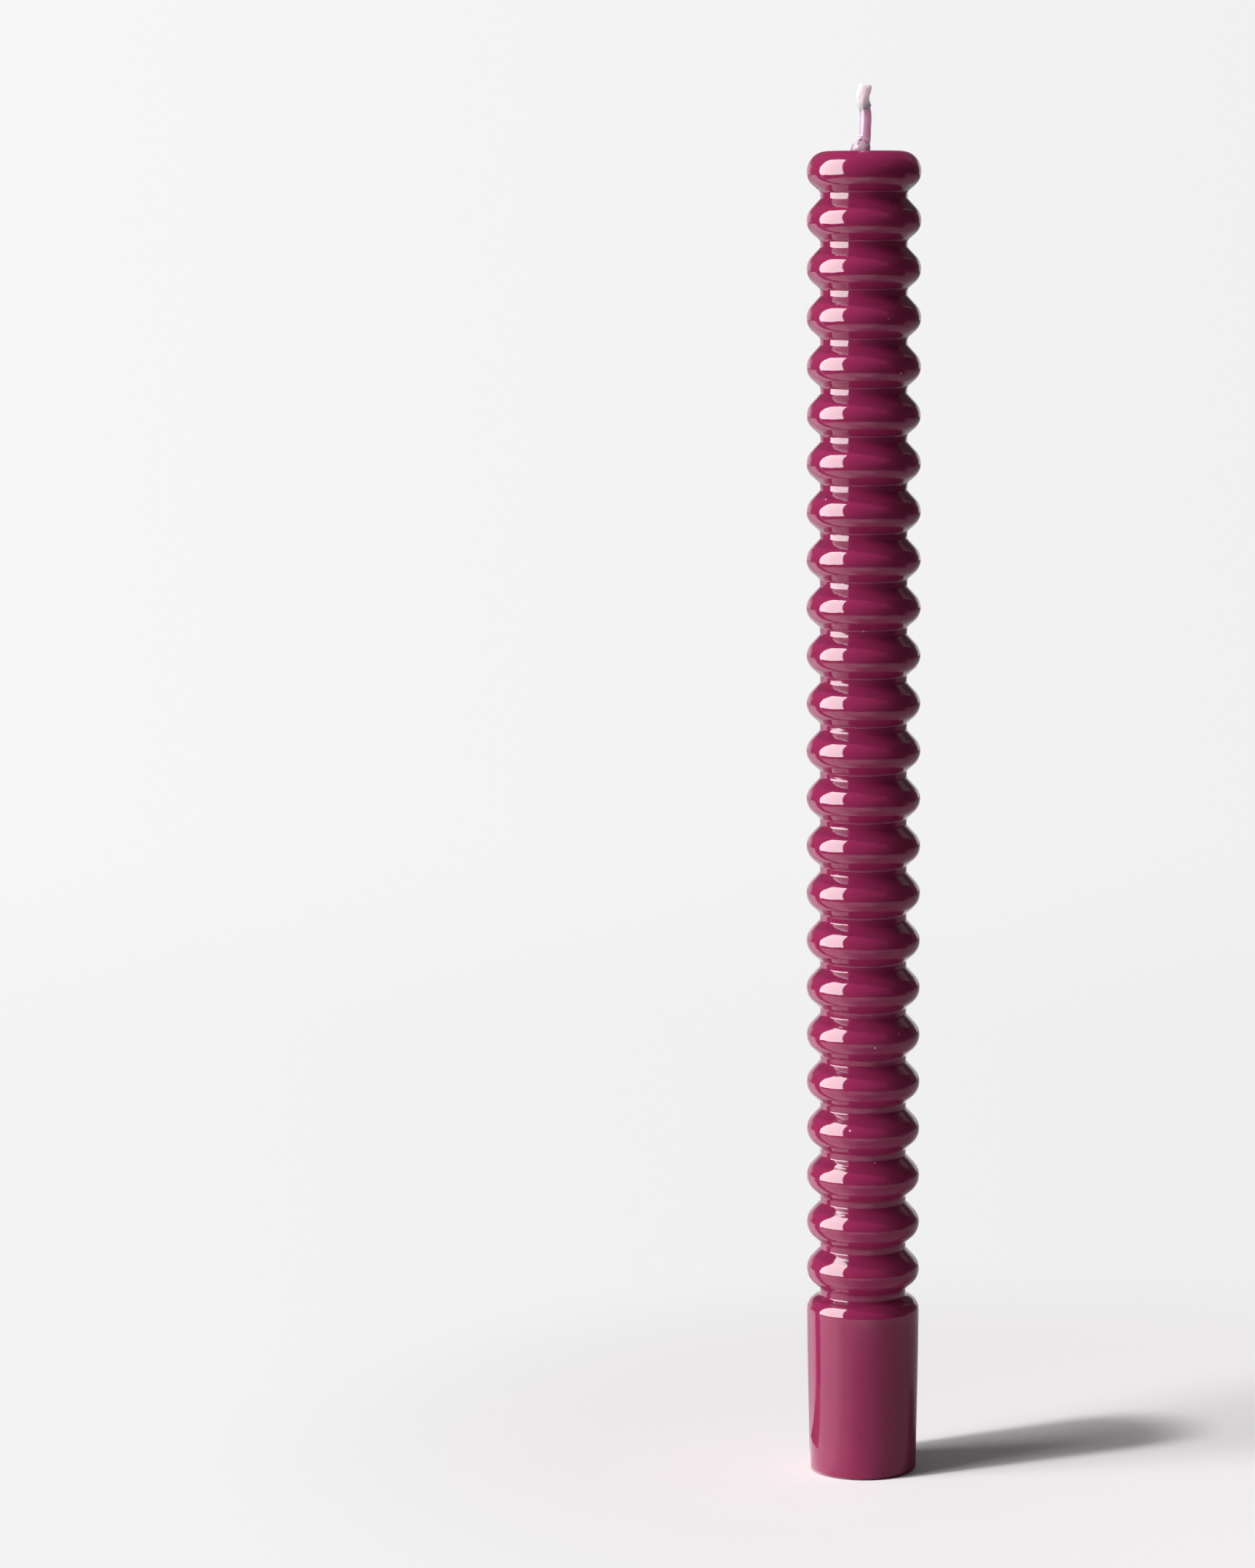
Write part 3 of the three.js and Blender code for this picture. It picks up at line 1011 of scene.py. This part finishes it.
LAMP_DISTANCE = 1.6
LAMP_WIDTH = 0.035
LAMP_HEIGHT = 0.1
LAMP_WATTS = 11


def panel(name, centre, facing, up, width, height, watts, shines=True, glows=True):
    """A soft light that the camera doesn't see. It may show only in gloss, or only in soft light."""
    data = bpy.data.lights.new(name, "AREA")
    data.shape = "RECTANGLE"
    data.size = width
    data.size_y = height
    data.energy = watts
    light = placed(name, data)
    z = -Vector(facing).normalized()
    y = (Vector(up) - Vector(up).dot(z) * z).normalized()
    turn = Matrix((y.cross(z), y, z)).transposed()
    light.matrix_world = Matrix.Translation(centre) @ turn.to_4x4()
    light.visible_camera = False
    light.visible_glossy = shines
    light.visible_diffuse = glows
    return light


def toward(azimuth_deg, elevation_deg):
    """A direction from the candle. Azimuth 0 is toward the camera, and the left is negative."""
    azimuth = math.radians(azimuth_deg)
    elevation = math.radians(elevation_deg)
    level = math.cos(elevation)
    return Vector((math.sin(azimuth) * level, -math.cos(azimuth) * level, math.sin(elevation)))


panel(
    "window_shine",
    centre=SHINE_CENTRE,
    facing=SHINE_FACING,
    up=SHINE_UP,
    width=SHINE_WIDTH,
    height=SHINE_HEIGHT,
    watts=SHINE_RADIANCE * math.pi * SHINE_WIDTH * SHINE_HEIGHT,
    glows=False,
)
toward_window = toward(GLOW_AZIMUTH_DEG, GLOW_ELEVATION_DEG)
panel(
    "window_glow",
    centre=toward_window * GLOW_DISTANCE,
    facing=-toward_window,
    up=(0, 0, 1),
    width=GLOW_WIDTH,
    height=GLOW_HEIGHT,
    watts=GLOW_RADIANCE * math.pi * GLOW_WIDTH * GLOW_HEIGHT,
    shines=False,
)
toward_lamp = toward(LAMP_AZIMUTH_DEG, LAMP_ELEVATION_DEG)
high_lamp = panel(
    "high_lamp",
    centre=toward_lamp * LAMP_DISTANCE,
    facing=-toward_lamp,
    up=(0, 0, 1),
    width=LAMP_WIDTH,
    height=LAMP_HEIGHT,
    watts=LAMP_WATTS,
    shines=False,
)
high_lamp.data.shape = "ELLIPSE"

# The paper lies a hair below the foot. It has a hole under it, and the camera doesn't see it from
# below, so that the foot's face can be looked at. Past the shadow it fades into the backdrop.
SHEET_FRONT = 0.34
SHEET_HALF_WIDTH = 1.2
SHEET_BACK = 2.0
SHEET_DROP = 0.01 * MM
HOLE_EDGE = 9.2 * MM
HOLE_EDGE_WIDTH = 0.2 * MM
FADE_MIDDLE_X = 34 * MM
FADE_MIDDLE_Y = 19 * MM
FADE_START = 0.07
FADE_END = 0.17
SHEET_WHITE = 0.83
GRAIN_DEPTH = 0.01
# The tone that the camera sees rises to the right, by this much to a metre. This is painted light:
# it makes up for the window's light, which falls off to the right, so that the lit paper looks even.
SEEN_RISE = 0.95
# The tone in gloss is painted reflection: the paper, as the candle's gloss mirrors it, is given a
# tone of its own, apart from the light on it. More is added off the foot and in front of it, and it
# fades out beyond the near part, except behind the candle. Off the foot, and beyond the near part,
# are given as squared distances, in square metres.
GLOSS_TONE = 0.38
GLOSS_OFF_FOOT = 0.2
GLOSS_IN_FRONT = 0.65
OFF_FOOT = (0.008, 0.026)
BEYOND = (0.10, 0.16)
BACK_HALF = (0.0, 0.15)
# Painted shade: the tone in soft light, which is weaker on the right, where the shadow lies.
SOFT_TONE_RIGHT = 0.4
# Painted light: the paper also glows a little on the window's side, and in soft light over its whole
# left half. It glows only in the candle's gloss and soft light, not for the camera. The limits say
# how far left: 1 is due left of the candle, -1 due right.
GLARE = 1.15
WIDE_GLARE = 0.4
WIDE_LIMITS = (0.10, 0.65)
NARROW_GLARE = 0.6
NARROW_LIMITS = (0.60, 0.85)
SOFT_GLARE = 0.7
LEFT_HALF_GLARE = 0.25
LEFT_HALF = (-0.3, 0.1)
FRONT_LIMITS = (-0.6, -0.15, 0.2, 0.6)
SOFT_TONE_LIMITS = (-0.5, 0.2)
NOT_ZERO = 1e-6

sheet_mesh = bpy.data.meshes.new("white_sheet")
sides = ((-1, -SHEET_FRONT), (1, -SHEET_FRONT), (1, SHEET_BACK), (-1, SHEET_BACK))
sheet_corners = [(side * SHEET_HALF_WIDTH, y, -SHEET_DROP) for side, y in sides]
sheet_mesh.from_pydata(sheet_corners, [], [(0, 1, 2, 3)])
sheet = placed("white_sheet", sheet_mesh)
paper = Finish("white_paper", Roughness=0.9, Specular_IOR_Level=0.0, Emission_Strength=GLARE)
across_sheet = paper.split(paper.place)
squares = across_sheet["X"] * across_sheet["X"] + across_sheet["Y"] * across_sheet["Y"]
leftward = -across_sheet["X"] / paper.math("SQRT", squares + NOT_ZERO)
rays = paper.add("ShaderNodeLightPath")
mirrored = rays["Is Glossy Ray"]
seen_ray = rays["Is Camera Ray"]

near = 1 - paper.rise(squares, *BEYOND) * (1 - paper.rise(across_sheet["Y"], *BACK_HALF))
front = GLOSS_IN_FRONT * paper.band(leftward, *FRONT_LIMITS)
# What the gloss mirrors of the paper is a painted reflection tone, set apart from the light on it.
painted_reflection_tone = near * (GLOSS_TONE + paper.rise(squares, *OFF_FOOT) * (GLOSS_OFF_FOOT + front))
# In soft light the paper is painted darker on the right, as painted shade for the candle's shadow.
soft_tone_with_painted_shade = SOFT_TONE_RIGHT + (1 - SOFT_TONE_RIGHT) * paper.rise(leftward, *SOFT_TONE_LIMITS)
unseen_tone = soft_tone_with_painted_shade + (painted_reflection_tone - soft_tone_with_painted_shade) * mirrored
# For the camera the paper has a painted brightening to the right, against the window's falloff.
tone = unseen_tone + (1 + SEEN_RISE * across_sheet["X"] - unseen_tone) * seen_ray
grain = paper.noise(paper.stretched(700, 700, 700))
white = SHEET_WHITE * (1 - GRAIN_DEPTH / 2 + GRAIN_DEPTH * grain)

# The paper's glow is painted light, on the window's side and over its left half.
window_side_glow = WIDE_GLARE * paper.rise(leftward, *WIDE_LIMITS)
window_side_glow = window_side_glow + NARROW_GLARE * paper.rise(leftward, *NARROW_LIMITS)
left_half_glow = LEFT_HALF_GLARE * paper.rise(leftward, *LEFT_HALF)
painted_glow = window_side_glow * near * mirrored + (SOFT_GLARE * window_side_glow + left_half_glow) * rays["Is Diffuse Ray"]

from_x = across_sheet["X"] - FADE_MIDDLE_X
from_y = across_sheet["Y"] - FADE_MIDDLE_Y
from_middle = paper.math("SQRT", from_x * from_x + from_y * from_y)
fade = 1 - paper.rise(from_middle, FADE_START, FADE_END)
from_below = seen_ray * paper.add("ShaderNodeNewGeometry")["Backfacing"]
off_hole = paper.rise(squares, (HOLE_EDGE - HOLE_EDGE_WIDTH) ** 2, HOLE_EDGE**2)
paper.set(
    Base_Color=paper.mix(white * tone, (0, 0, 0, 1), (1, 0.975, 0.985, 1)),
    Emission_Color=paper.mix(painted_glow, (0, 0, 0, 1), (1, 1, 1, 1)),
    Alpha=paper.math("MAXIMUM", fade, 1 - seen_ray) * (1 - from_below) * off_hole,
)
sheet_mesh.materials.append(paper.material)

# A dark upright stick on the left, with a dark strip on the paper between it and the candle. The
# strip is a painted shadow of the stick on the paper. The camera doesn't see them, and they cast no
# shadow. They only darken what the gloss mirrors.
STICK_WIDTH = 0.023
STICK_TOP_WIDTH = 0.016
STICK_HEIGHT = 0.45
STICK_DISTANCE = 0.082
STICK_AZIMUTH_DEG = -101.5
SHADOW_STRIP_WIDTH = 0.018
SHADOW_STRIP_END = (-23 * MM, 10 * MM, 0)
SHADOW_STRIP_LIFT = 0.3 * MM

stick_foot = toward(STICK_AZIMUTH_DEG, 0) * STICK_DISTANCE
stick_mesh = bpy.data.meshes.new("dark_stick")
stick_work = bmesh.new()
bmesh.ops.create_cone(
    stick_work,
    cap_ends=True,
    segments=48,
    radius1=STICK_WIDTH / 2,
    radius2=STICK_TOP_WIDTH / 2,
    depth=STICK_HEIGHT,
    matrix=Matrix.Translation(stick_foot + Vector((0, 0, STICK_HEIGHT / 2))),
)
# The strip is a painted shadow lying on the paper, seen only in the gloss.
shadow_strip_start = stick_foot + Vector((0, 0, SHADOW_STRIP_LIFT))
shadow_strip_end = Vector(SHADOW_STRIP_END) + Vector((0, 0, SHADOW_STRIP_LIFT))
half_shadow_strip = (shadow_strip_end - shadow_strip_start).normalized().cross(Vector((0, 0, 1))) * SHADOW_STRIP_WIDTH / 2
left_edge = [shadow_strip_start + half_shadow_strip, shadow_strip_end + half_shadow_strip]
right_edge = [shadow_strip_end - half_shadow_strip, shadow_strip_start - half_shadow_strip]
stick_work.faces.new([stick_work.verts.new(corner) for corner in left_edge + right_edge])
stick_work.to_mesh(stick_mesh)
stick_work.free()
stick = placed("dark_stick", stick_mesh)
stick.visible_camera = False
stick.visible_shadow = False
stick.visible_diffuse = False
stick_finish = Finish("dark_stick_paint", Base_Color=(0.05, 0.004, 0.015, 1), Roughness=0.6)
stick_mesh.materials.append(stick_finish.material)

# The room, by the direction that a ray takes. Gloss meets a bright backdrop behind the candle, a
# little to the left, with a dim wall round it and a faint card up on the right. Soft light meets the
# backdrop too. The camera sees plain white, a little darker to the right and low down.
ROOM_SHINE = 0.04
ROOM_LIGHT = 0.13
BACKDROP_WHITE = 0.90
BACKDROP_SIDES = (0.76, 0.80)
BACKDROP_LEFT = 0.1
BACKDROP_HEIGHTS = (-0.12, -0.05, 0.12, 0.30)
WALL_SHINE = 0.05
WALL_SIDES = (0.60, 0.64)
WALL_TOP = (0.60, 0.66)
CARD_SHINE = 0.22
CARD_SIDES = (0.55, 0.60, 0.64, 0.69)
CARD_HEIGHTS = (0.40, 0.46, 0.62, 0.68)
SEEN_WHITE = 0.892
SEEN_SLOPE = 0.19
SEEN_SLOPE_END = 0.3
SEEN_LOW_DIP = 0.022
SEEN_LOW = (-0.175, -0.13)

world = bpy.data.worlds.new("studio")
bpy.context.scene.world = world
world.use_nodes = True
world.node_tree.nodes.clear()
sky = Bench(world.node_tree)
ray = sky.add("ShaderNodeLightPath")
direction = sky.split(sky.add("ShaderNodeTexCoord")["Generated"])
x, y, z = direction["X"], direction["Y"], direction["Z"]
backward = y / sky.math("SQRT", x * x + y * y)
upright = sky.band(z, *BACKDROP_HEIGHTS)
behind = BACKDROP_WHITE * sky.rise(backward - BACKDROP_LEFT * x, *BACKDROP_SIDES) * upright
wall = WALL_SHINE * sky.rise(backward, *WALL_SIDES) * (1 - sky.rise(z, *WALL_TOP))
card = CARD_SHINE * sky.band(x, *CARD_SIDES) * sky.band(z, *CARD_HEIGHTS) * (1 - upright)
shine = ROOM_SHINE + behind + wall + card
glow = ROOM_LIGHT + BACKDROP_WHITE * sky.rise(backward, *BACKDROP_SIDES) * upright
rightward = sky.math("MAXIMUM", sky.math("MINIMUM", x, SEEN_SLOPE_END), -SEEN_SLOPE_END)
low = 1 - sky.rise(z, *SEEN_LOW)
seen = (SEEN_WHITE - SEEN_SLOPE * rightward - SEEN_LOW_DIP * low) * ray["Is Camera Ray"]
glossy = shine * ray["Is Glossy Ray"]
soft = glow * (1 - ray["Is Camera Ray"]) * (1 - ray["Is Glossy Ray"])
backdrop = sky.add("ShaderNodeBackground", {"Color": (1, 1, 1, 1), "Strength": seen + glossy + soft})
sky.add("ShaderNodeOutputWorld", {"Surface": backdrop["Background"]})
